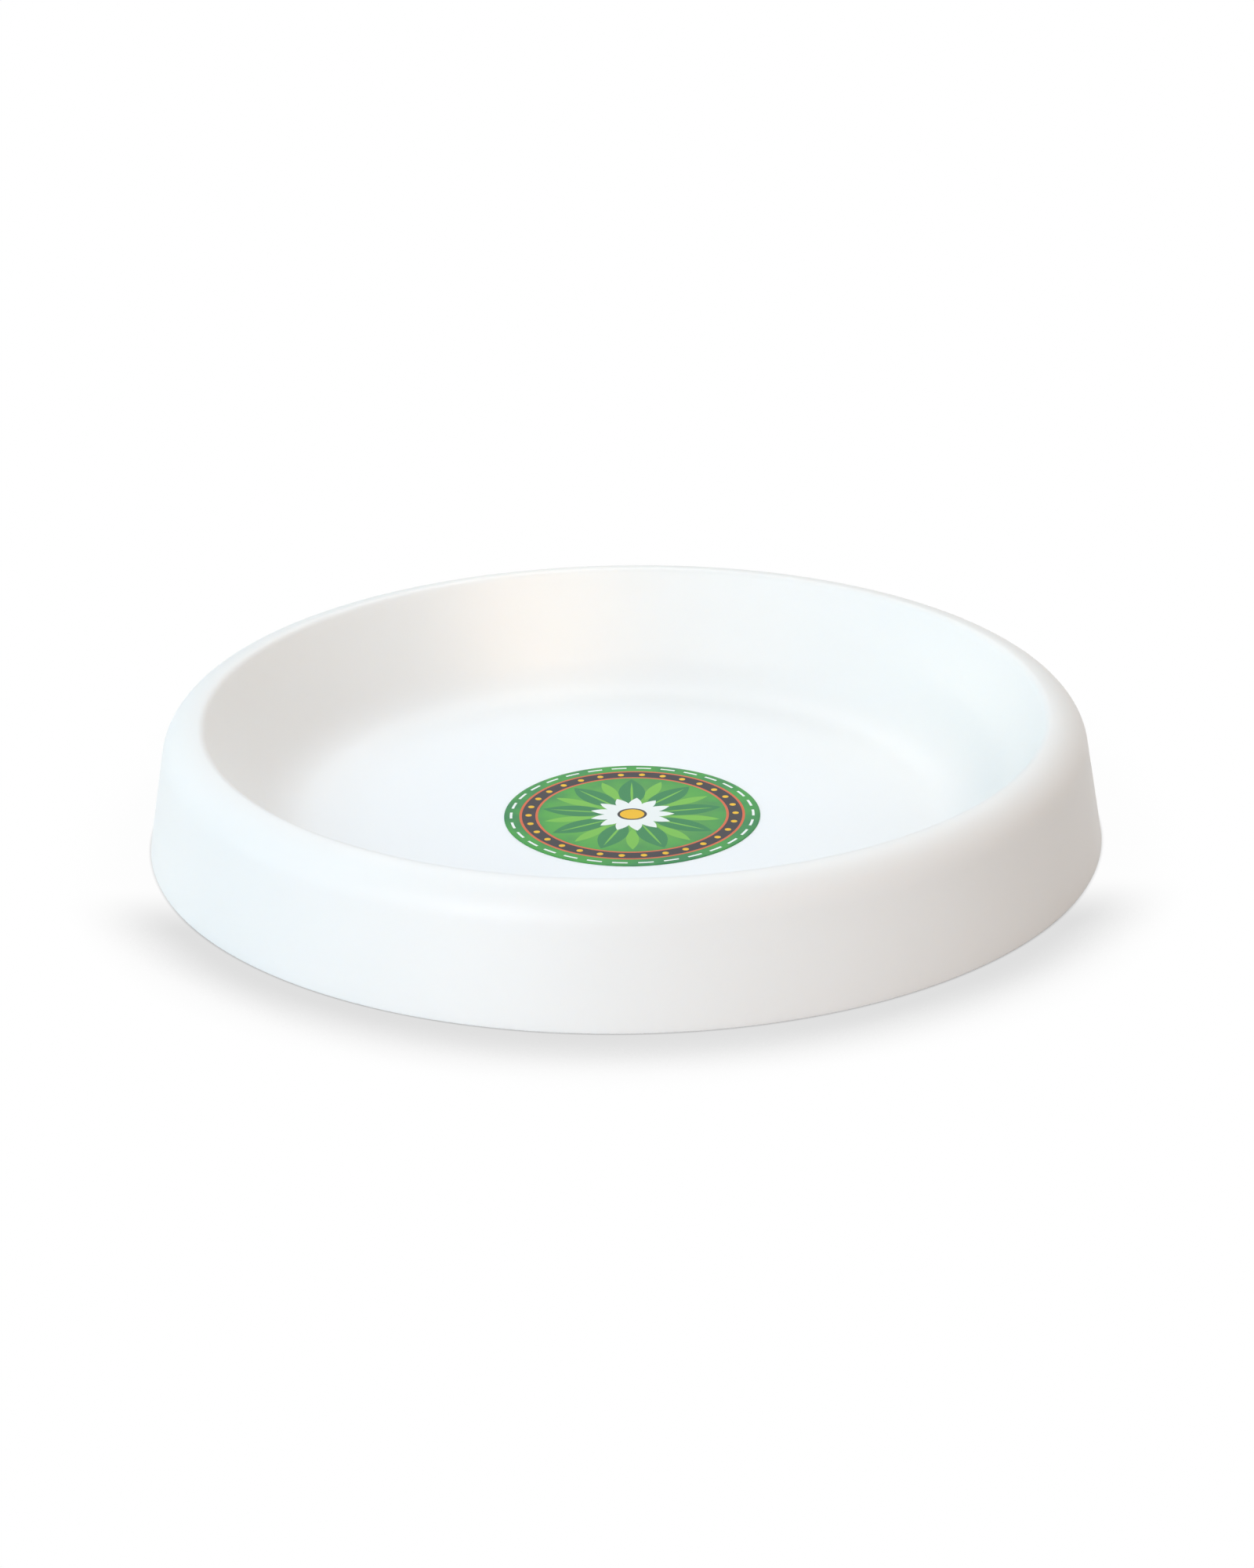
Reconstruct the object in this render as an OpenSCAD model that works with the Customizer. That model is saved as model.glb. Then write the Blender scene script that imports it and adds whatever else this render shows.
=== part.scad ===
// Plant saucer: a shallow round dish moulded in one skin, with a fat hollow rim that is open below,
// and a round printed label stuck on the dish floor.
// The saucer stands on the cut edge of its skirt at z = 0, centred on the Z axis.
//
// The skin is one line in the (radius, height) plane, with a wall of even thickness under it. From the axis
// outwards it is the flat floor, the floor fillet, the leaning dish wall, the lip, the shoulder and the skirt.
// Each bend is an arc that starts along the stretch before it and ends along the stretch after it.

/* [Saucer] */
// Diameter across the foot, the widest place, before its corners are broken
foot_d = 300; // [220:1:500]
// Height from the ground to the top of the rim
rim_h = 40; // [32:0.5:70]
// Thickness of the moulded wall
wall_t = 3; // [1.5:0.1:4.5]
// Height of the floor's underside above the ground
floor_gap = 1.5; // [0.5:0.1:8]

/* [Rim] */
// Lean of the outer skirt, in degrees from upright
skirt_lean = 10; // [2:0.5:16]
// Radius of the outer shoulder
shoulder_r = 11.5; // [8:0.5:16]
// Radius of the lip, where the rim turns down into the dish
lip_r = 3; // [1:0.5:6]
// Radius of the fold below the lip, on the underside
fold_r = 3; // [1:0.5:4]
// Width of the broken corners on the cut edge of the skirt
edge_break = 0.2; // [0.1:0.1:0.6]

/* [Dish] */
// Lean of the dish wall, in degrees from upright
dish_lean = 33; // [15:1:45]
// Radius of the fillet between the floor and the dish wall
floor_fillet_r = 22; // [6:1:30]

/* [Label] */
// Diameter of the round label
label_d = 81; // [30:1:90]
// Thickness of the label
label_t = 0.2; // [0.1:0.05:0.4]
// Thickness of the glue film under the label, left as a clearance
glue_t = 0.02; // [0.01:0.01:0.05]
// Place of the label's centre along X, measured from the axis
label_x = 2; // [-4:0.5:4]
// Place of the label's centre along Y, measured from the axis
label_y = -4; // [-6:0.5:6]

/* [Hidden] */

// Straight pieces in each bend of the section, and in each full circle
bend_steps = 10;
turn_steps = 240;

foot_r = foot_d / 2;
floor_h = floor_gap + wall_t;

// The shoulder's centre, straight below the ring where the rim is highest
shoulder_c = [
    foot_r - (rim_h - shoulder_r) * tan(skirt_lean) - shoulder_r / cos(skirt_lean),
    rim_h - shoulder_r
];

// The dish wall climbs along wall_up, and wall_in points from its dish side into the wall
wall_up = [sin(dish_lean), cos(dish_lean)];
wall_in = [cos(dish_lean), -sin(dish_lean)];

// Distance from the dish side of the wall to the shoulder's centre, with the lip ending at the top of the rim
wall_to_shoulder = lip_r + (shoulder_r - lip_r) * sin(dish_lean);

// The floor fillet's centre, from where it touches the floor and the dish wall
fillet_up = floor_h + floor_fillet_r - shoulder_c.y;
fillet_c = [
    shoulder_c.x - (wall_to_shoulder + floor_fillet_r - fillet_up * sin(dish_lean)) / cos(dish_lean),
    floor_h + floor_fillet_r
];

// Points of an arc from one direction to another, in degrees anticlockwise from outwards
function arc(centre, r, from, to) = [
    for (i = [0 : bend_steps])
        let (a = from + (to - from) * i / bend_steps)
        centre + r * [cos(a), sin(a)]
];

// Centre of the lip at a depth in the wall: it touches the dish wall, and the shoulder from inside
function lip_centre(depth, r) =
    let (
        off = wall_to_shoulder - depth - r,
        reach = shoulder_r - depth - r
    )
    shoulder_c - off * wall_in + sqrt(reach * reach - off * off) * wall_up;

// Direction from the shoulder's centre to the point where a lip at that centre meets the shoulder
function meet_angle(lip) = atan2(lip.y - shoulder_c.y, lip.x - shoulder_c.x);

// The skin's line at a depth below the seen side, from the axis to the top of the skirt
function skin(depth, r) =
    let (
        lip = lip_centre(depth, r),
        meet = meet_angle(lip)
    )
    concat(
        [[0, floor_h - depth]],
        arc(fillet_c, floor_fillet_r + depth, -90, -dish_lean),
        arc(lip, r, 180 - dish_lean, meet),
        arc(shoulder_c, shoulder_r - depth, meet, skirt_lean)
    );

// The cut edge of the skirt, flat on the ground with both corners broken
function cut_edge() =
    let (
        edge_w = wall_t / cos(skirt_lean),
        rise = edge_break * tan(skirt_lean)
    )
    [
        [foot_r - rise, edge_break],
        [foot_r - edge_break, 0],
        [foot_r - edge_w + edge_break, 0],
        [foot_r - edge_w - rise, edge_break]
    ];

// The same points in the opposite order
function reverse(points) = [for (i = [len(points) - 1 : -1 : 0]) points[i]];

module section() {
    under_r = min(fold_r, (shoulder_r - wall_t) / 2);
    polygon(concat(skin(0, lip_r), cut_edge(), reverse(skin(wall_t, under_r))));
}

// The moulding, all in one piece
module saucer() {
    color("whitesmoke")
        rotate_extrude($fn = turn_steps)
            section();
}

// The label, on its glue film over the floor
module label() {
    color("mediumseagreen")
        translate([label_x, label_y, floor_h + glue_t])
            cylinder(d = label_d, h = label_t, $fn = turn_steps);
}

saucer();
label();
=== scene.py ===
"""A white plant saucer with a round printed label, dressed for a studio picture.

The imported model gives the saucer's and the label's boxes. This script lays two finished surfaces over those
solids, gives them their materials, and sets a white paper floor, soft lamps and the picture's camera around
them. All lengths are in metres.
"""

import math

import bpy
import numpy as np
from bpy.props import FloatProperty, FloatVectorProperty, IntProperty, PointerProperty
from mathutils import Matrix, Vector


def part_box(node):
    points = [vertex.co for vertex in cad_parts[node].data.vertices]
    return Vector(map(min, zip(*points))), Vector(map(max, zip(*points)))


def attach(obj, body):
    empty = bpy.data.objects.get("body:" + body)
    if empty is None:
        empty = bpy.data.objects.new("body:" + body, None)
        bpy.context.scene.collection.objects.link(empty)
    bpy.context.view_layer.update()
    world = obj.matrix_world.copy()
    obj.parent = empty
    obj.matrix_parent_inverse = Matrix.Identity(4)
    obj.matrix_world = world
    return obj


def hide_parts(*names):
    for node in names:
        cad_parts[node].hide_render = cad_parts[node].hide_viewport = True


bl_info = {
    "name": "Plant saucer",
    "version": (1, 0, 0),
    "blender": (4, 5, 0),
    "location": "View3D > Sidebar > Saucer",
    "description": "Builds a moulded plant saucer, its label and a white studio around them",
    "category": "Add Mesh",
}

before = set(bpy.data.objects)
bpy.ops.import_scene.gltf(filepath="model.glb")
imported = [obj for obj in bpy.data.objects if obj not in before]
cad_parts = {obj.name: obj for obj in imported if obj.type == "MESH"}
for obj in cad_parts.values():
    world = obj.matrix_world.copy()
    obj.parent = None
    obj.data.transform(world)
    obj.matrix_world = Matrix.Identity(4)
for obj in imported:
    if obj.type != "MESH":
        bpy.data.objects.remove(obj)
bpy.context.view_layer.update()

MM = 0.001
SAUCER_LOW, SAUCER_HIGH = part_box("saucer")
LABEL_LOW, LABEL_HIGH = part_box("label")

# The photograph's frame and the camera found from the foot's edge, the rim and the label in it
PHOTO_W = 1600
PHOTO_H = 2000
SENSOR_MM = 36.0
FOCAL_PX = 4500.0
FOOT_CENTRE_PX = (798.6, 1049.4)

# Rings along each stretch of the saucer's section, and across the label
FLOOR_RINGS = 22
FILLET_RINGS = 24
WALL_RINGS = 12
LIP_RINGS = 16
SHOULDER_RINGS = 24
SKIRT_RINGS = 14
EDGE_RINGS = 3
BACK_RINGS = 12
LABEL_TOP_RINGS = 40
LABEL_BACK_RINGS = 4

# The saucer's materials, by slot: the face that lay on the mould, the free face below, and the cut edge
MOULDED, FREE, CUT = range(3)

# How the cooled rim goes out of true, as (waves in a turn, share, phase in radians)
OUT_OF_ROUND = ((2, 1.0, 0.6), (3, 0.6, 2.1), (5, 0.3, 4.0))
OUT_OF_LEVEL = ((2, 0.8, 3.4), (3, 1.0, 0.2), (7, 0.25, 1.0))

# The floor's dips, in radians per metre: waves 153 mm long in X and 190 mm in Y
DIP_X = 41
DIP_Y = 33

# How many times each motif of the label's print repeats in a turn
LEAVES = 9
PETALS = 13
BEADS = 30

# How far the saucer's painted shadow reaches over the paper, and how far the painted contact line at the foot
# does
SHADOW_REACH = 45 * MM
CONTACT_REACH = 1.1 * MM

# The painted shadow is kept faint beside the saucer by a mask along Y: the middle of that stretch, and how
# far from it the painted shadow is still faint, and is full
SIDE_MIDDLE = 12.5 * MM
SIDE_FAINT = 57.5 * MM
SIDE_FULL = 92.5 * MM

# The studio
PAPER_RADIUS = 6.0
PAPER_SIDES = 64
SPOT_RADIUS = 20 * MM


def linear(hex_colour):
    """The linear red, green and blue of an sRGB hex colour."""
    parts = [int(hex_colour[i:i + 2], 16) / 255 for i in (0, 2, 4)]
    return tuple(c / 12.92 if c <= 0.04045 else ((c + 0.055) / 1.055) ** 2.4 for c in parts)


# Sizes and colours that a user would change


class SaucerSettings(bpy.types.PropertyGroup):
    """The moulding's section and its small faults"""

    wall: FloatProperty(
        name="Wall", description="Thickness of the moulded wall", default=3 * MM, min=1 * MM, unit="LENGTH"
    )
    floor_gap: FloatProperty(
        name="Floor gap", description="Height of the floor's underside above the ground",
        default=1.5 * MM, min=0, unit="LENGTH",
    )
    skirt_lean: FloatProperty(
        name="Skirt lean", description="Lean of the outer skirt from upright",
        default=math.radians(10), subtype="ANGLE",
    )
    dish_lean: FloatProperty(
        name="Dish lean", description="Lean of the dish wall from upright",
        default=math.radians(33), subtype="ANGLE",
    )
    shoulder: FloatProperty(
        name="Shoulder", description="Radius of the outer shoulder", default=11.5 * MM, unit="LENGTH"
    )
    lip: FloatProperty(
        name="Lip", description="Radius of the lip on the dish side", default=3 * MM, unit="LENGTH"
    )
    fold: FloatProperty(
        name="Fold", description="Radius of the fold below the lip", default=3 * MM, unit="LENGTH"
    )
    fillet: FloatProperty(
        name="Floor fillet", description="Radius between the floor and the dish wall",
        default=22 * MM, unit="LENGTH",
    )
    edge_break: FloatProperty(
        name="Edge break", description="Width of the broken corners on the cut edge",
        default=0.2 * MM, unit="LENGTH",
    )
    warp: FloatProperty(
        name="Warp", description="How far the cooled moulding departs from a true round",
        default=0.3 * MM, min=0, unit="LENGTH",
    )
    turns: IntProperty(name="Turns", description="Faces in each ring", default=360, min=48, max=720)
    colour: FloatVectorProperty(
        name="Colour", description="Colour of the polyethylene", default=linear("F5F5F3"),
        subtype="COLOR", size=3, min=0, max=1,
    )


class LabelSettings(bpy.types.PropertyGroup):
    """The label's print"""

    ground: FloatVectorProperty(
        name="Ground", description="Main green of the print", default=linear("4BA048"),
        subtype="COLOR", size=3, min=0, max=1,
    )
    glow: FloatVectorProperty(
        name="Glow", description="Yellow green that lights the middle of the print",
        default=linear("7CBD4E"), subtype="COLOR", size=3, min=0, max=1,
    )
    leaf: FloatVectorProperty(
        name="Leaf", description="Dark green of the printed leaves", default=linear("3A8450"),
        subtype="COLOR", size=3, min=0, max=1,
    )
    band: FloatVectorProperty(
        name="Band", description="Charcoal of the printed ring", default=linear("3B373A"),
        subtype="COLOR", size=3, min=0, max=1,
    )
    trim: FloatVectorProperty(
        name="Trim", description="Orange of the lines beside the ring", default=linear("D86A45"),
        subtype="COLOR", size=3, min=0, max=1,
    )
    bead: FloatVectorProperty(
        name="Bead", description="Yellow of the printed beads", default=linear("F4BE2C"),
        subtype="COLOR", size=3, min=0, max=1,
    )
    petal: FloatVectorProperty(
        name="Petal", description="White of the printed petals and dashes", default=linear("F2F4EE"),
        subtype="COLOR", size=3, min=0, max=1,
    )


class StudioSettings(bpy.types.PropertyGroup):
    """The camera's place, the paper, and the painted shadow on it"""

    distance: FloatProperty(
        name="Distance", description="From the camera to the middle of the foot",
        default=1119.8 * MM, unit="LENGTH",
    )
    elevation: FloatProperty(
        name="Elevation", description="Height of the camera above the ground, as an angle",
        default=math.radians(23.12), subtype="ANGLE",
    )
    roll: FloatProperty(
        name="Roll", description="Clockwise turn of the camera about its axis",
        default=math.radians(0.75), subtype="ANGLE",
    )
    paper: FloatVectorProperty(
        name="Paper", description="Colour of the floor as it throws light back on the saucer",
        default=linear("CDCDCD"), subtype="COLOR", size=3, min=0, max=1,
    )
    # How deep the painted shadow on the paper and the painted contact line at the foot are
    shade: FloatProperty(
        name="Shade", description="Share of the light that the deepest part of the shadow loses",
        default=0.26, min=0, max=1, subtype="FACTOR",
    )
    contact: FloatProperty(
        name="Contact", description="Share of the light that the thin line at the foot loses",
        default=0.27, min=0, max=1, subtype="FACTOR",
    )


# Shapes


def arc(centre, radius, start, end, count):
    """Points centre + radius (cos a, sin a), for angles a in even steps from start to end."""
    a = np.linspace(start, end, count)[:, None]
    return np.array(centre) + radius * np.hstack([np.cos(a), np.sin(a)])


def line(start, end, count):
    """Points start + t (end - start), for t in even steps strictly between 0 and 1."""
    t = np.linspace(0, 1, count + 2)[1:-1, None]
    return np.array(start) + t * (np.array(end) - np.array(start))


def polar(centre, radius, angle):
    """The point centre + radius (cos angle, sin angle)."""
    return np.array(centre) + radius * np.array([math.cos(angle), math.sin(angle)])


class Section:
    """The skin's half section in the (radius, height) plane, from the saucer's box and the settings.

    The foot is where the skirt would meet the ground. The shoulder and the fillet are the middles of their
    arcs, placed so that the skirt, the dish wall and the floor touch the arcs. The unit vectors up and into
    run up along the dish wall, and square to it into the skin. The offset is the distance from the dish wall
    to the shoulder's middle.
    """

    def __init__(self, s):
        self.s = s
        self.height = SAUCER_HIGH.z
        self.foot = min(SAUCER_HIGH.x, -SAUCER_LOW.x) + s.edge_break * math.tan(s.skirt_lean)
        self.floor = s.floor_gap + s.wall
        rise = self.height - s.shoulder
        self.shoulder = np.array(
            [self.foot - rise * math.tan(s.skirt_lean) - s.shoulder / math.cos(s.skirt_lean), rise]
        )
        self.up = np.array([math.sin(s.dish_lean), math.cos(s.dish_lean)])
        self.into = np.array([math.cos(s.dish_lean), -math.sin(s.dish_lean)])
        self.offset = s.lip + (s.shoulder - s.lip) * math.sin(s.dish_lean)
        fillet_up = self.floor + s.fillet - self.shoulder[1]
        reach = self.offset + s.fillet - fillet_up * math.sin(s.dish_lean)
        self.fillet = np.array(
            [self.shoulder[0] - reach / math.cos(s.dish_lean), self.floor + s.fillet]
        )

    def skin(self, depth, lip_radius):
        """The line at a depth below the seen side: floor, fillet arc, dish wall, lip arc, shoulder arc.

        The lip's arc touches the dish wall and the shoulder's arc. Its middle lies lip_radius from the one,
        and the difference of the two radii from the middle of the other.
        """
        s = self.s
        away = self.offset - depth - lip_radius
        reach = s.shoulder - depth - lip_radius
        lip = self.shoulder - away * self.into + math.sqrt(reach * reach - away * away) * self.up
        meet = math.atan2(lip[1] - self.shoulder[1], lip[0] - self.shoulder[0])
        floor_end = self.fillet - [0, s.fillet + depth]
        wall_foot = polar(self.fillet, s.fillet + depth, -s.dish_lean)
        wall_top = polar(lip, lip_radius, math.pi - s.dish_lean)
        return [
            line([0, self.floor - depth], floor_end, FLOOR_RINGS),
            arc(self.fillet, s.fillet + depth, -math.pi / 2, -s.dish_lean, FILLET_RINGS),
            line(wall_foot, wall_top, WALL_RINGS),
            arc(lip, lip_radius, math.pi - s.dish_lean, meet, LIP_RINGS),
            arc(self.shoulder, s.shoulder - depth, meet, s.skirt_lean, SHOULDER_RINGS)[1:],
        ]

    def rings(self):
        """All rings from the floor's upper face, out over the rim, round the cut edge and back below.

        With them comes the material slot of the band that starts at each ring.
        """
        s = self.s
        seen = np.vstack(self.skin(0, s.lip))
        hidden = np.vstack(self.skin(s.wall, min(s.fold, (s.shoulder - s.wall) / 2)))
        b = s.edge_break
        rise = b * math.tan(s.skirt_lean)
        inside = self.foot - s.wall / math.cos(s.skirt_lean)

        # Each broken corner has two flats, which meet at 0.3 of its height
        outer = np.array([[self.foot - rise, b], [self.foot - 0.35 * b, 0.3 * b], [self.foot - b, 0]])
        inner = np.array([[inside + b, 0], [inside + 0.25 * b, 0.3 * b], [inside - rise, b]])
        edge = np.vstack([outer, line(outer[-1], inner[0], EDGE_RINGS), inner])

        # One more ring close to each side of the edge, a tenth of a step away, keeps the corners crisp
        skirt = line(seen[-1], edge[0], SKIRT_RINGS)
        skirt_end = edge[0] + (skirt[-1] - edge[0]) * 0.1
        back = line(edge[-1], hidden[-1], BACK_RINGS)
        back_start = edge[-1] + (back[0] - edge[-1]) * 0.1

        rings = np.vstack([seen, skirt, skirt_end, edge, back_start, back, hidden[::-1]])
        above = len(seen) + len(skirt) + 1
        cut = len(edge) - 1
        return rings, np.repeat([MOULDED, CUT, FREE], [above, cut, len(rings) - above - cut])


def wave(angle, parts):
    """The sum of a cos(k angle + p) over parts (k, a, p), divided by the sum of a, so it stays within 1."""
    total = sum(a for _, a, _ in parts)
    return sum(a * np.cos(k * angle + p) for k, a, p in parts) / total


def warped(points, section, warp):
    """Moves points as a cooled moulding moves: out of round, the rim up and down, the floor in soft dips.

    A point at angle t and radius r is drawn in by warp (1 + w(t)) / 2 at the foot, in proportion to r, and
    falls by warp (1 + v(t)) / 2 at the rim's height, in proportion to the square of its height. The waves w
    and v go round the rim. The floor sinks by warp d / 3, where d is half of 1 plus a slow wave in x times
    one in y, and fades out towards the fillet.
    """
    x, y, z = points.T
    angle = np.arctan2(y, x)
    radius = np.hypot(x, y)
    drawn = warp * (1 + wave(angle, OUT_OF_ROUND)) / 2 * radius / section.foot
    dropped = warp * (1 + wave(angle, OUT_OF_LEVEL)) / 2
    dropped = dropped * (z / section.height) ** 2
    inside = np.clip(1 - radius / section.fillet[0], 0, 1)
    soft = inside * inside * (3 - 2 * inside)
    dip = warp / 3 * soft * (1 + np.sin(DIP_X * x + 0.7) * np.cos(DIP_Y * y - 0.4)) / 2
    shrink = 1 - drawn / np.maximum(radius, MM)
    return np.column_stack([x * shrink, y * shrink, z - dropped - dip])


def turned(rings, turns):
    """Points (r cos t, r sin t, z) for each ring (r, z) and each of the even angles t, ring after ring."""
    t = np.linspace(0, 2 * np.pi, turns, endpoint=False)
    r, z = rings[:, :1], rings[:, 1:]
    grid = np.stack([r * np.cos(t), r * np.sin(t), np.broadcast_to(z, (len(rings), turns))], axis=-1)
    return grid.reshape(-1, 3)


def ring_faces(ring_count, turns):
    """Four-sided faces between neighbouring rings, their outer side up where the rings run outwards."""
    i = np.arange(ring_count - 1)[:, None] * turns
    j = np.arange(turns)[None, :]
    k = (j + 1) % turns
    return np.stack([i + j, i + turns + j, i + turns + k, i + k], axis=-1).reshape(-1, 4)


def fan_faces(pole, first, turns, face_up):
    """Triangles from a pole on the axis to the ring whose first point is first, facing up or down."""
    j = np.arange(turns)
    k = (j + 1) % turns
    a, b = (j, k) if face_up else (k, j)
    return np.stack([np.full(turns, pole), first + a, first + b], axis=-1)


def closed_mesh(name, points, quads, triangles, slots=None):
    """A smooth-shaded mesh object at the origin, filled from whole arrays of points and faces."""
    mesh = bpy.data.meshes.new(name)
    mesh.vertices.add(len(points))
    mesh.vertices.foreach_set("co", np.ascontiguousarray(points, np.float32).ravel())
    corners = np.concatenate([quads.ravel(), triangles.ravel()]).astype(np.int32)
    starts = np.concatenate(
        [np.arange(len(quads)) * 4, len(quads) * 4 + np.arange(len(triangles)) * 3]
    ).astype(np.int32)
    mesh.loops.add(len(corners))
    mesh.loops.foreach_set("vertex_index", corners)
    mesh.polygons.add(len(starts))
    mesh.polygons.foreach_set("loop_start", starts)
    mesh.polygons.foreach_set("use_smooth", np.ones(len(starts), bool))
    if slots is not None:
        mesh.polygons.foreach_set("material_index", slots.astype(np.int32))
    mesh.update(calc_edges=True)
    if mesh.validate():
        raise RuntimeError(f"{name} has a face or an edge that isn't sound")
    piece = bpy.data.objects.new(name, mesh)
    bpy.context.scene.collection.objects.link(piece)
    return piece


def round_skin(name, rings, turns, move, bands=None):
    """A closed surface of revolution through rings, from a pole on the axis to another one below it.

    The function move then moves its points, and bands holds the material slot of the band after each ring.
    """
    points = turned(rings, turns)
    poles = np.array([[0, 0, rings[0, 1]], [0, 0, rings[-1, 1]]])
    count = len(points)
    quads = ring_faces(len(rings), turns)
    triangles = np.vstack(
        [fan_faces(count, 0, turns, True), fan_faces(count + 1, count - turns, turns, False)]
    )
    slots = None
    if bands is not None:
        ends = [np.full(turns, bands[0]), np.full(turns, bands[-1])]
        slots = np.concatenate([np.repeat(bands[:-1], turns), *ends])
    return closed_mesh(name, move(np.vstack([points, poles])), quads, triangles, slots)


# Materials


def add(tree, kind, inputs=(), **settings):
    """Adds a node: settings are its own, and inputs maps a socket's name or number to a value or a link."""
    node = tree.nodes.new(kind)
    for key, value in settings.items():
        setattr(node, key, value)
    for key, value in dict(inputs).items():
        if isinstance(value, bpy.types.NodeSocket):
            tree.links.new(value, node.inputs[key])
        else:
            node.inputs[key].default_value = value
    return node


def new_material(name):
    """An empty node material and its tree."""
    material = bpy.data.materials.new(name)
    material.use_nodes = True
    material.node_tree.nodes.clear()
    return material, material.node_tree


def rgba(colour, share=1.0):
    """A colour times a share of its lightness, with full alpha."""
    return tuple(c * share for c in colour) + (1.0,)


def moulded_polyethylene(colour):
    """Polyethylene, rotomoulded white, the side that lay on the mould.

    It copies the mould's blasted steel: a satin skin with a broad soft shine, a little smeared every 25 mm, a
    faint orange peel about 3 mm across, a white that drifts by a fortieth over 60 mm, and a milky depth,
    because the plastic lets light in by a millimetre or so.
    """
    material, tree = new_material("rotomoulded_polyethylene")
    place = add(tree, "ShaderNodeTexCoord").outputs["Object"]
    cloud = add(tree, "ShaderNodeTexNoise", {"Vector": place, "Scale": 1 / (60 * MM), "Detail": 2.0})
    tint = add(
        tree, "ShaderNodeMix", {0: cloud.outputs["Fac"], 6: rgba(colour), 7: rgba(colour, 0.975)},
        data_type="RGBA",
    )
    smear = add(tree, "ShaderNodeTexNoise", {"Vector": place, "Scale": 1 / (25 * MM), "Detail": 4.0})
    rough = add(tree, "ShaderNodeMapRange", {0: smear.outputs["Fac"], 1: 0.3, 2: 0.7, 3: 0.42, 4: 0.5})
    peel = add(tree, "ShaderNodeTexNoise", {"Vector": place, "Scale": 1 / (3 * MM), "Detail": 1.5})
    bump = add(
        tree, "ShaderNodeBump", {"Strength": 0.35, "Distance": 0.03 * MM, "Height": peel.outputs["Fac"]}
    )
    shader = add(tree, "ShaderNodeBsdfPrincipled", {
        "Base Color": tint.outputs[2],
        "Roughness": rough.outputs[0],
        "IOR": 1.51,
        "Subsurface Weight": 0.25,
        "Subsurface Radius": (1.0, 0.9, 0.8),
        "Subsurface Scale": 2 * MM,
        "Normal": bump.outputs[0],
    })
    add(tree, "ShaderNodeOutputMaterial", {"Surface": shader.outputs[0]})
    return material


def free_polyethylene(colour):
    """The same polyethylene on the side that faced the air in the mould.

    Nothing smoothed it: it is dull, with lazy ripples about 12 mm apart, and a little greyer on them.
    """
    material, tree = new_material("polyethylene_free_face")
    place = add(tree, "ShaderNodeTexCoord").outputs["Object"]
    ripple = add(tree, "ShaderNodeTexNoise", {"Vector": place, "Scale": 1 / (12 * MM), "Detail": 3.0})
    bump = add(
        tree, "ShaderNodeBump", {"Strength": 0.6, "Distance": 0.25 * MM, "Height": ripple.outputs["Fac"]}
    )
    tint = add(
        tree, "ShaderNodeMix", {0: ripple.outputs["Fac"], 6: rgba(colour, 0.97), 7: rgba(colour, 0.9)},
        data_type="RGBA",
    )
    shader = add(tree, "ShaderNodeBsdfPrincipled", {
        "Base Color": tint.outputs[2], "Roughness": 0.6, "IOR": 1.51, "Normal": bump.outputs[0],
    })
    add(tree, "ShaderNodeOutputMaterial", {"Surface": shader.outputs[0]})
    return material


def cut_polyethylene(colour):
    """The same polyethylene where a knife trimmed it: matt, with fine chatter marks about 0.8 mm apart."""
    material, tree = new_material("polyethylene_cut_edge")
    place = add(tree, "ShaderNodeTexCoord").outputs["Object"]
    chatter = add(tree, "ShaderNodeTexNoise", {"Vector": place, "Scale": 1 / (0.8 * MM), "Detail": 2.0})
    bump = add(
        tree, "ShaderNodeBump", {"Strength": 0.5, "Distance": 0.05 * MM, "Height": chatter.outputs["Fac"]}
    )
    shader = add(tree, "ShaderNodeBsdfPrincipled", {
        "Base Color": rgba(colour, 0.93), "Roughness": 0.7, "IOR": 1.51, "Normal": bump.outputs[0],
    })
    add(tree, "ShaderNodeOutputMaterial", {"Surface": shader.outputs[0]})
    return material


def sector(tree, reach, angle, count, shift):
    """A point's place along and across the middle line of its own sector, out of count equal ones.

    With f the fractional part of angle count / 2 pi + shift, they are reach cos g and reach sin g, where g is
    (2 f - 1) pi / count. The third socket is f.
    """
    turn = add(
        tree, "ShaderNodeMath", {0: angle, 1: count / (2 * math.pi), 2: shift}, operation="MULTIPLY_ADD"
    )
    part = add(tree, "ShaderNodeMath", {0: turn.outputs[0]}, operation="FRACT")
    off = add(
        tree, "ShaderNodeMath", {0: part.outputs[0], 1: 2 * math.pi / count, 2: -math.pi / count},
        operation="MULTIPLY_ADD",
    )
    cosine = add(tree, "ShaderNodeMath", {0: off.outputs[0]}, operation="COSINE")
    sine = add(tree, "ShaderNodeMath", {0: off.outputs[0]}, operation="SINE")
    along = add(tree, "ShaderNodeMath", {0: reach, 1: cosine.outputs[0]}, operation="MULTIPLY")
    across = add(tree, "ShaderNodeMath", {0: reach, 1: sine.outputs[0]}, operation="MULTIPLY")
    return along.outputs[0], across.outputs[0], part.outputs[0]


def leaf_shape(tree, along, across, start, end, half_width):
    """1 inside a pointed leaf, which is half_width (1 - t t) wide to each side, t running from -1 to 1."""
    half = (end - start) / 2
    t = add(
        tree, "ShaderNodeMath", {0: along, 1: 1 / half, 2: -(start + half) / half}, operation="MULTIPLY_ADD"
    )
    square = add(tree, "ShaderNodeMath", {0: t.outputs[0], 1: t.outputs[0]}, operation="MULTIPLY")
    edge = add(
        tree, "ShaderNodeMath", {0: square.outputs[0], 1: -half_width, 2: half_width},
        operation="MULTIPLY_ADD",
    )
    side = add(tree, "ShaderNodeMath", {0: across}, operation="ABSOLUTE")
    inside = add(tree, "ShaderNodeMath", {0: edge.outputs[0], 1: side.outputs[0]}, operation="GREATER_THAN")
    return inside.outputs[0]


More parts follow.
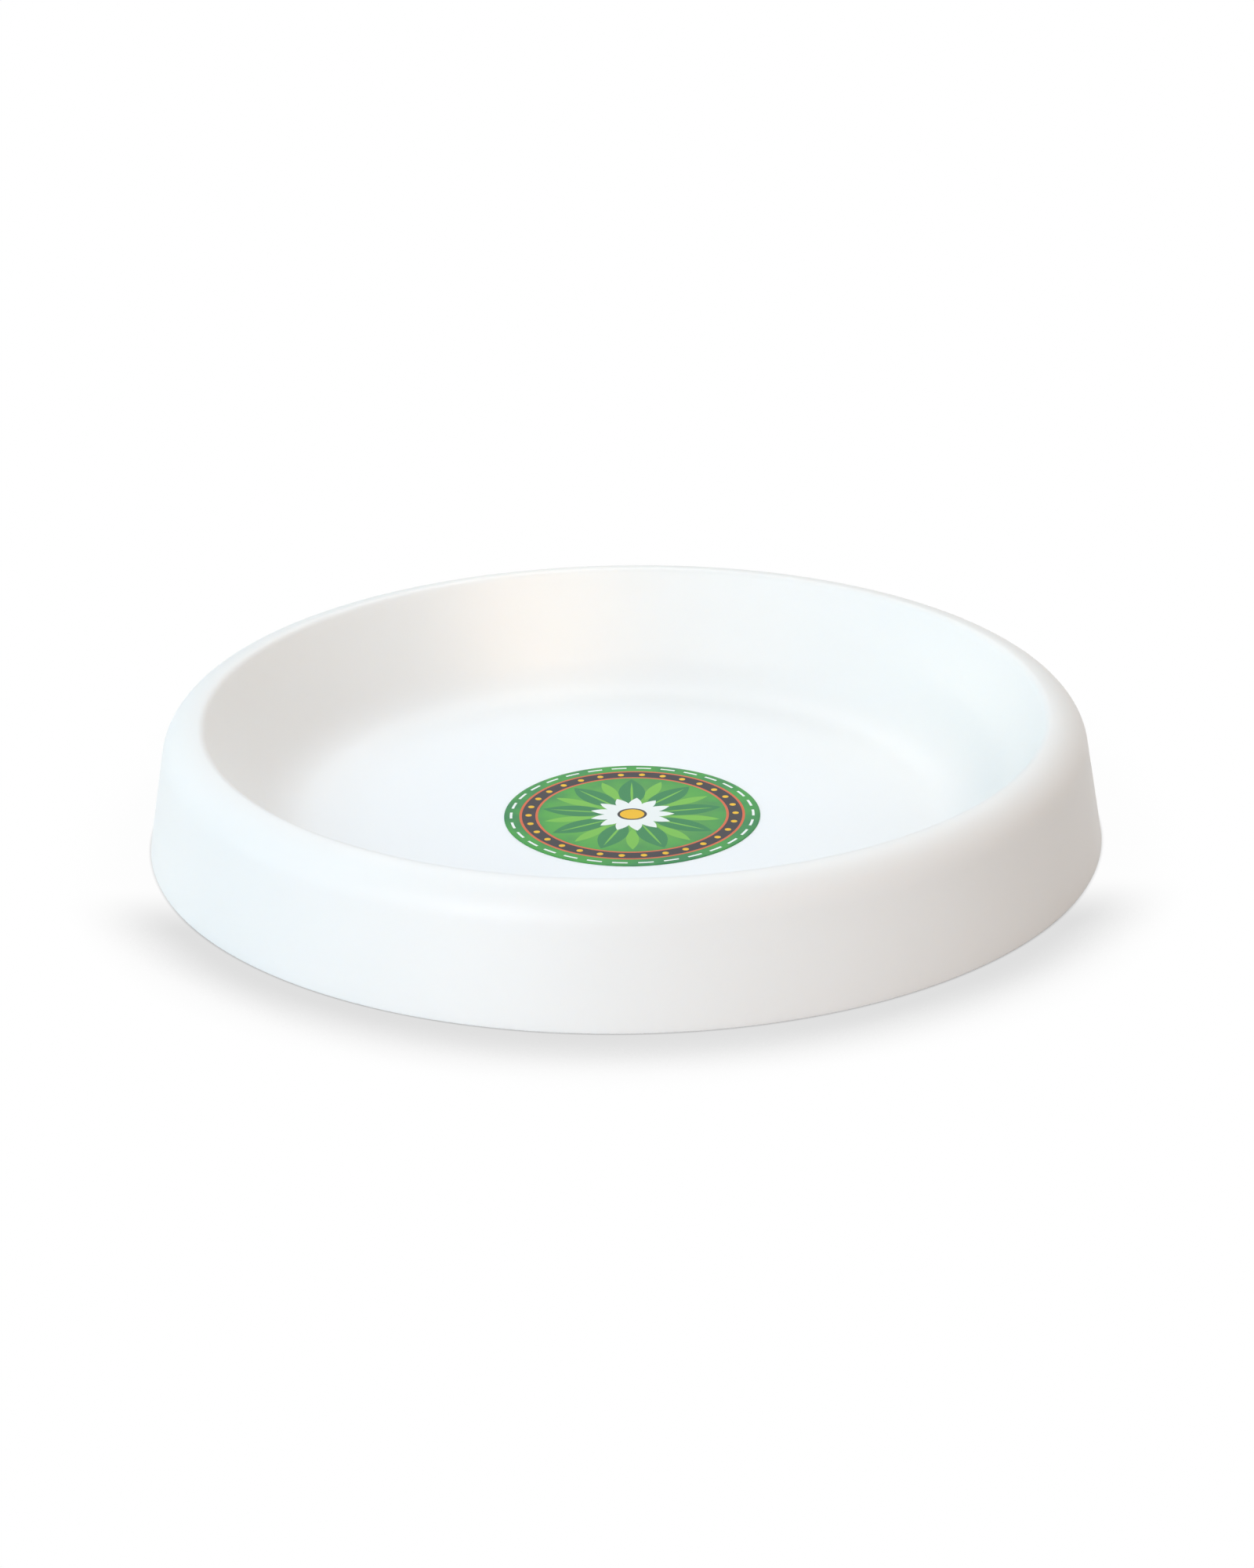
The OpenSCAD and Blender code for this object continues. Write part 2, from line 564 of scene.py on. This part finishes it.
def ring_shape(tree, reach, start, end):
    """1 where the distance from the middle lies between start and end."""
    middle, half = (start + end) / 2, (end - start) / 2
    return add(tree, "ShaderNodeMath", {0: reach, 1: middle, 2: half}, operation="COMPARE").outputs[0]


def printed_film(s, centre, radius):
    """Label film, offset printed under a matt laminate: flat bright inks with hardly a shine.

    The print is a white daisy on a wreath of dark leaves with lighter ones between them, over a green ground
    that glows in the middle, inside a charcoal ring with orange edges and yellow beads. White dashes run
    round it near the edge. Its lengths are shares of the label's radius.
    """
    material, tree = new_material("laminated_label_film")
    place = add(tree, "ShaderNodeTexCoord").outputs["Object"]
    disc = add(tree, "ShaderNodeMapping", {
        "Vector": place,
        "Location": (-centre.x / radius, -centre.y / radius, 0),
        "Scale": (1 / radius, 1 / radius, 0),
    }).outputs[0]
    reach = add(tree, "ShaderNodeVectorMath", {0: disc}, operation="LENGTH").outputs["Value"]
    axes = add(tree, "ShaderNodeSeparateXYZ", {0: disc})
    angle = add(
        tree, "ShaderNodeMath", {0: axes.outputs[1], 1: axes.outputs[0]}, operation="ARCTAN2"
    ).outputs[0]

    # The ground: two greens in soft blots 15 mm across, lit yellow green in the middle
    blot = add(tree, "ShaderNodeTexNoise", {"Vector": place, "Scale": 1 / (15 * MM), "Detail": 3.0})
    tone = add(tree, "ShaderNodeMapRange", {0: blot.outputs["Fac"], 1: 0.42, 2: 0.66})
    green = add(
        tree, "ShaderNodeMix", {0: tone.outputs[0], 6: rgba(s.ground), 7: rgba(s.leaf)}, data_type="RGBA"
    )
    warmth = add(tree, "ShaderNodeMapRange", {0: reach, 1: 0.2, 2: 0.8, 3: 0.8, 4: 0.0})
    ground = add(
        tree, "ShaderNodeMix", {0: warmth.outputs[0], 6: green.outputs[2], 7: rgba(s.glow)}, data_type="RGBA"
    )

    leaf_x, leaf_y = sector(tree, reach, angle, LEAVES, 0.25)[:2]
    frond_x, frond_y = sector(tree, reach, angle, LEAVES, 0.75)[:2]
    petal_x, petal_y = sector(tree, reach, angle, PETALS, 0.5)[:2]
    bead_x, bead_y, bead_turn = sector(tree, reach, angle, BEADS, 0.5)
    band_start, band_end = 0.755, 0.86
    bead_middle = ((band_start + band_end) / 2, 0, 0)
    bead_place = add(tree, "ShaderNodeCombineXYZ", {0: bead_x, 1: bead_y})
    bead_far = add(
        tree, "ShaderNodeVectorMath", {0: bead_place.outputs[0], 1: bead_middle}, operation="DISTANCE"
    )
    bead = add(tree, "ShaderNodeMath", {0: bead_far.outputs["Value"], 1: 0.025}, operation="LESS_THAN")
    dash = add(tree, "ShaderNodeMath", {0: bead_turn, 1: 0.5, 2: 0.3}, operation="COMPARE")
    dashes = add(
        tree, "ShaderNodeMath", {0: dash.outputs[0], 1: ring_shape(tree, reach, 0.935, 0.955)},
        operation="MULTIPLY",
    )

    # The inks in the order in which they are laid down: a leaf or petal by its start, end and half width,
    # and a ring by its start and end
    colour = ground.outputs[2]
    for shape, ink in (
        (leaf_shape(tree, frond_x, frond_y, 0.30, 0.69, 0.05), s.glow),
        (leaf_shape(tree, leaf_x, leaf_y, 0.16, 0.71, 0.105), s.leaf),
        (leaf_shape(tree, leaf_x, leaf_y, 0.18, 0.65, 0.010), s.glow),
        (leaf_shape(tree, petal_x, petal_y, 0.06, 0.33, 0.052), s.petal),
        (ring_shape(tree, reach, 0.0, 0.115), s.band),
        (ring_shape(tree, reach, 0.0, 0.095), s.bead),
        (ring_shape(tree, reach, 0.735, 0.88), s.trim),
        (ring_shape(tree, reach, band_start, band_end), s.band),
        (bead.outputs[0], s.bead),
        (dashes.outputs[0], s.petal),
    ):
        colour = add(tree, "ShaderNodeMix", {0: shape, 6: colour, 7: rgba(ink)}, data_type="RGBA").outputs[2]
    shader = add(tree, "ShaderNodeBsdfPrincipled", {
        "Base Color": colour, "Roughness": 0.45, "IOR": 1.5, "Specular IOR Level": 0.12,
    })
    add(tree, "ShaderNodeOutputMaterial", {"Surface": shader.outputs[0]})
    return material


def seen_as(tree, shown, otherwise):
    """One shader for what the camera sees, also reflected or through clear things, and one for other rays."""
    ray = add(tree, "ShaderNodeLightPath")
    seen = add(
        tree, "ShaderNodeMath",
        {0: ray.outputs["Is Camera Ray"], 1: ray.outputs["Is Glossy Ray"]}, operation="MAXIMUM",
    )
    through = add(
        tree, "ShaderNodeMath", {0: seen.outputs[0], 1: ray.outputs["Is Transmission Ray"]},
        operation="MAXIMUM",
    )
    return add(tree, "ShaderNodeMixShader", {0: through.outputs[0], 1: otherwise, 2: shown}).outputs[0]


def seamless_paper(s):
    """White seamless paper, which the camera sees as pure white but for the saucer's painted soft shadow.

    The camera, reflections and clear things see white paper with a painted shadow: it darkens where the
    saucer hides the sky close by, fully in front and behind, and hardly at the sides, where a mask along Y
    keeps the painted shadow faint. In the last millimetre it darkens once more, a painted contact shadow in a
    thin line where the foot meets the paper. All other rays see plain paper, which throws some light back up.
    """
    material, tree = new_material("white_seamless_paper")
    paper = add(tree, "ShaderNodeBsdfDiffuse", {"Color": rgba(s.paper)})

    # The painted shadow starts where 7 hundredths of the sky are hidden, and is deepest where 30 are
    open_sky = add(tree, "ShaderNodeAmbientOcclusion", {"Distance": SHADOW_REACH}, samples=16)
    hidden = add(
        tree, "ShaderNodeMapRange", {0: open_sky.outputs["AO"], 1: 0.93, 2: 0.7, 3: 0.0, 4: s.shade},
        interpolation_type="SMOOTHSTEP",
    )
    # A mask along Y keeps the painted shadow faint at the saucer's sides
    place = add(tree, "ShaderNodeTexCoord").outputs["Object"]
    axes = add(tree, "ShaderNodeSeparateXYZ", {0: place})
    along = add(tree, "ShaderNodeMath", {0: axes.outputs[1], 1: SIDE_MIDDLE}, operation="SUBTRACT")
    away = add(tree, "ShaderNodeMath", {0: along.outputs[0]}, operation="ABSOLUTE")
    ends = add(
        tree, "ShaderNodeMapRange", {0: away.outputs[0], 1: SIDE_FAINT, 2: SIDE_FULL, 3: 0.06, 4: 1.0},
        interpolation_type="SMOOTHSTEP",
    )
    dark = add(tree, "ShaderNodeMath", {0: hidden.outputs[0], 1: ends.outputs[0]}, operation="MULTIPLY")

    # The painted contact shadow, a thin line, starts where 5 hundredths of the sky close by are hidden, and
    # is darkest where half is
    near_sky = add(tree, "ShaderNodeAmbientOcclusion", {"Distance": CONTACT_REACH}, samples=16)
    painted_contact_shadow = add(
        tree, "ShaderNodeMapRange", {0: near_sky.outputs["AO"], 1: 0.95, 2: 0.5, 3: 0.0, 4: s.contact}
    )
    # The painted shadow and the painted contact shadow are taken off the white that the camera sees
    painted_shade = add(tree, "ShaderNodeMath", {0: dark.outputs[0], 1: painted_contact_shadow.outputs[0]}, operation="ADD")
    light = add(tree, "ShaderNodeMath", {0: 1.0, 1: painted_shade.outputs[0]}, operation="SUBTRACT")
    white = add(tree, "ShaderNodeEmission", {"Color": rgba(linear("FFFFFF")), "Strength": light.outputs[0]})
    add(tree, "ShaderNodeOutputMaterial", {"Surface": seen_as(tree, white.outputs[0], paper.outputs[0])})
    return material


# One operator for each piece, and one for the stage


class AddSaucer(bpy.types.Operator):
    """Add the moulded saucer over its solid"""

    bl_idname = "plant_saucer.add_saucer"
    bl_label = "Add saucer"

    def execute(self, context):
        s = context.scene.plant_saucer_body
        section = Section(s)
        rings, bands = section.rings()
        piece = round_skin("saucer_skin", rings, s.turns, lambda p: warped(p, section, s.warp), bands)
        for finish in (moulded_polyethylene, free_polyethylene, cut_polyethylene):
            piece.data.materials.append(finish(s.colour))
        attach(piece, "root")
        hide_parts("saucer")
        return {"FINISHED"}


class AddLabel(bpy.types.Operator):
    """Add the printed label over its solid"""

    bl_idname = "plant_saucer.add_label"
    bl_label = "Add label"

    def execute(self, context):
        s = context.scene.plant_saucer_body
        section = Section(s)
        centre = (LABEL_LOW + LABEL_HIGH) / 2
        radius = (LABEL_HIGH.x - LABEL_LOW.x) / 2
        low, high = LABEL_LOW.z, LABEL_HIGH.z
        soft = (high - low) / 4  # The punched edge is worn by a quarter of the film's thickness
        rings = np.vstack([
            line([0, high], [radius - soft, high], LABEL_TOP_RINGS),
            [[radius - soft, high], [radius, high - soft], [radius, low]],
            line([radius, low], [0, low], LABEL_BACK_RINGS),
        ])
        shift = np.array([centre.x, centre.y, 0])
        piece = round_skin("label_print", rings, s.turns // 2, lambda p: warped(p + shift, section, s.warp))
        piece.data.materials.append(printed_film(context.scene.plant_saucer_label, centre, radius))
        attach(piece, "root")
        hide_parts("label")
        return {"FINISHED"}


def add_floor(s):
    """A round white paper floor under the saucer."""
    points = turned(np.array([[PAPER_RADIUS, 0.0]]), PAPER_SIDES)
    mesh = bpy.data.meshes.new("studio_floor")
    mesh.from_pydata(points.tolist(), [], [list(range(PAPER_SIDES))])
    floor = bpy.data.objects.new("studio_floor", mesh)
    bpy.context.scene.collection.objects.link(floor)
    floor.data.materials.append(seamless_paper(s))


def hang_light(name, data, target, azimuth, elevation, distance):
    """Hangs a light that faces the target, at target + distance (cos e cos a, cos e sin a, sin e).

    The azimuth a and the elevation e are in degrees.
    """
    a, e = math.radians(azimuth), math.radians(elevation)
    away = distance * Vector((math.cos(e) * math.cos(a), math.cos(e) * math.sin(a), math.sin(e)))
    light = bpy.data.objects.new(name, data)
    light.location = Vector(target) + away
    light.rotation_euler = (-away).to_track_quat("-Z", "Y").to_euler()
    bpy.context.scene.collection.objects.link(light)


def add_lamp(name, azimuth, elevation, distance, size, level, colour):
    """A rectangular area lamp facing the middle of the foot.

    At a level of 1, and alone, it makes a white surface that faces it render as white: its power is then pi
    squared times the distance squared.
    """
    data = bpy.data.lights.new(name, "AREA")
    data.shape = "RECTANGLE"
    data.size, data.size_y = size
    data.energy = level * (math.pi * distance) ** 2
    data.color = colour
    hang_light(name, data, (0, 0, 0), azimuth, elevation, distance)


def add_spot(name, target, azimuth, elevation, distance, pool, level, colour):
    """A narrow spot whose light fades evenly from the target to the edge of a pool, given by its radius.

    At a level of 1, and alone, it makes a white surface that faces it at the target render as white: its
    power is then four pi squared times the distance squared.
    """
    data = bpy.data.lights.new(name, "SPOT")
    data.spot_size = 2 * math.atan(pool / distance)
    data.spot_blend = 1.0
    data.shadow_soft_size = SPOT_RADIUS
    data.energy = level * (2 * math.pi * distance) ** 2
    data.color = colour
    hang_light(name, data, target, azimuth, elevation, distance)


def add_world(glows):
    """Soft light from all round, and a white background for the camera, reflections and clear things.

    The light is a sum of glows. Each has an axis a, a level l and a colour c, and from direction d it sends
    l c max(0, a . d).
    """
    world = bpy.data.worlds.new("studio_world")
    world.use_nodes = True
    tree = world.node_tree
    tree.nodes.clear()
    towards = add(tree, "ShaderNodeTexCoord").outputs["Generated"]
    total = (0.0, 0.0, 0.0)
    for axis, level, colour in glows:
        facing = add(tree, "ShaderNodeVectorMath", {0: towards, 1: axis}, operation="DOT_PRODUCT")
        part = add(tree, "ShaderNodeMath", {0: facing.outputs["Value"], 1: 0.0}, operation="MAXIMUM")
        glow = add(
            tree, "ShaderNodeVectorMath",
            {0: tuple(level * c for c in colour), "Scale": part.outputs[0]}, operation="SCALE",
        )
        total = add(tree, "ShaderNodeVectorMath", {0: total, 1: glow.outputs[0]}, operation="ADD").outputs[0]
    light = add(tree, "ShaderNodeBackground", {"Color": total})
    white = add(tree, "ShaderNodeBackground", {"Color": rgba(linear("FFFFFF"))})
    add(tree, "ShaderNodeOutputWorld", {"Surface": seen_as(tree, white.outputs[0], light.outputs[0])})
    bpy.context.scene.world = world


def add_camera(s):
    """The photograph's camera, aimed at the middle of the foot and turned a little about its axis."""
    data = bpy.data.cameras.new("studio_camera")
    data.sensor_width = SENSOR_MM
    data.lens = SENSOR_MM * FOCAL_PX / PHOTO_H
    data.shift_x = (PHOTO_W / 2 - FOOT_CENTRE_PX[0]) / PHOTO_H
    data.shift_y = (FOOT_CENTRE_PX[1] - PHOTO_H / 2) / PHOTO_H
    camera = bpy.data.objects.new("studio_camera", data)
    back = Vector((0, -math.cos(s.elevation), math.sin(s.elevation)))
    right = Vector((1, 0, 0))
    up = back.cross(right)
    across = math.cos(s.roll) * right - math.sin(s.roll) * up
    upright = math.sin(s.roll) * right + math.cos(s.roll) * up
    turn = Matrix((across, upright, back)).transposed()
    camera.matrix_world = Matrix.Translation(back * s.distance) @ turn.to_4x4()
    bpy.context.scene.collection.objects.link(camera)
    bpy.context.scene.camera = camera


class AddStudio(bpy.types.Operator):
    """Add the white floor, the lamps and the camera"""

    bl_idname = "plant_saucer.add_studio"
    bl_label = "Add studio"

    def execute(self, context):
        s = context.scene.plant_saucer_studio
        add_floor(s)
        add_world([
            ((1, 0, 0), 0.555, linear("FFF8F2")),
            ((0, -1, 0), 0.328, linear("FFFEFC")),
            ((0, 0, 1), 0.147, linear("FFFCF6")),
        ])

        # The broad lamps: azimuth and elevation, distance, width and height, level, colour
        add_lamp("low_lamp", 240, 20, 3.0, (2.0, 2.0), 0.597, linear("F2F8FF"))
        add_lamp("west_lamp", 185, 8, 3.0, (1.5, 1.0), 0.124, linear("D6F2FF"))
        add_lamp("side_lamp", 170, 50, 3.0, (2.0, 2.0), 0.163, linear("BAEAFF"))
        add_lamp("top_lamp", 90, 70, 2.5, (2.0, 2.0), 0.109, linear("F4FDFF"))
        add_lamp("behind_lamp", 90, 50, 3.0, (2.0, 2.0), 0.332, linear("FAFCFF"))
        add_lamp("right_lamp", 308, 44, 2.0, (0.4, 0.4), 0.067, linear("FFB268"))

        # The narrow ones, for light thrown back on the floor, the dish wall and the skirt: target, azimuth
        # and elevation, distance, radius of the pool, level, colour
        add_spot("floor_spot", (-0.015, -0.012, 0.0045), 270, 80, 2.0, 0.14, 0.168, linear("B0D6FF"))
        add_spot("wall_spot", (-0.029, 0.119, 0.0265), 300, 50, 2.0, 0.045, 0.12, linear("FFE1BC"))
        add_spot("glow_spot", (0.100, 0.043, 0.0085), 190, 50, 2.0, 0.05, 0.028, linear("FFF4C8"))
        add_spot("left_spot", (-0.146, -0.020, 0.013), 189, 5, 2.0, 0.08, 0.105, linear("FFF4E4"))

        add_camera(s)
        context.scene.view_settings.view_transform = "Standard"
        return {"FINISHED"}


class SaucerPanel(bpy.types.Panel):
    """The saucer's tools in the 3D view's sidebar"""

    bl_idname = "VIEW3D_PT_plant_saucer"
    bl_label = "Plant saucer"
    bl_space_type = "VIEW_3D"
    bl_region_type = "UI"
    bl_category = "Saucer"

    def draw(self, context):
        groups = (
            (context.scene.plant_saucer_body, AddSaucer),
            (context.scene.plant_saucer_label, AddLabel),
            (context.scene.plant_saucer_studio, AddStudio),
        )
        for settings, operator in groups:
            box = self.layout.box()
            for name in settings.__annotations__:
                box.prop(settings, name)
            box.operator(operator.bl_idname)


CLASSES = (SaucerSettings, LabelSettings, StudioSettings, AddSaucer, AddLabel, AddStudio, SaucerPanel)


def register():
    for cls in CLASSES:
        bpy.utils.register_class(cls)
    bpy.types.Scene.plant_saucer_body = PointerProperty(type=SaucerSettings)
    bpy.types.Scene.plant_saucer_label = PointerProperty(type=LabelSettings)
    bpy.types.Scene.plant_saucer_studio = PointerProperty(type=StudioSettings)


def unregister():
    del bpy.types.Scene.plant_saucer_studio
    del bpy.types.Scene.plant_saucer_label
    del bpy.types.Scene.plant_saucer_body
    for cls in reversed(CLASSES):
        bpy.utils.unregister_class(cls)


def main():
    register()
    bpy.ops.plant_saucer.add_saucer()
    bpy.ops.plant_saucer.add_label()
    bpy.ops.plant_saucer.add_studio()


if __name__ == "__main__":
    main()
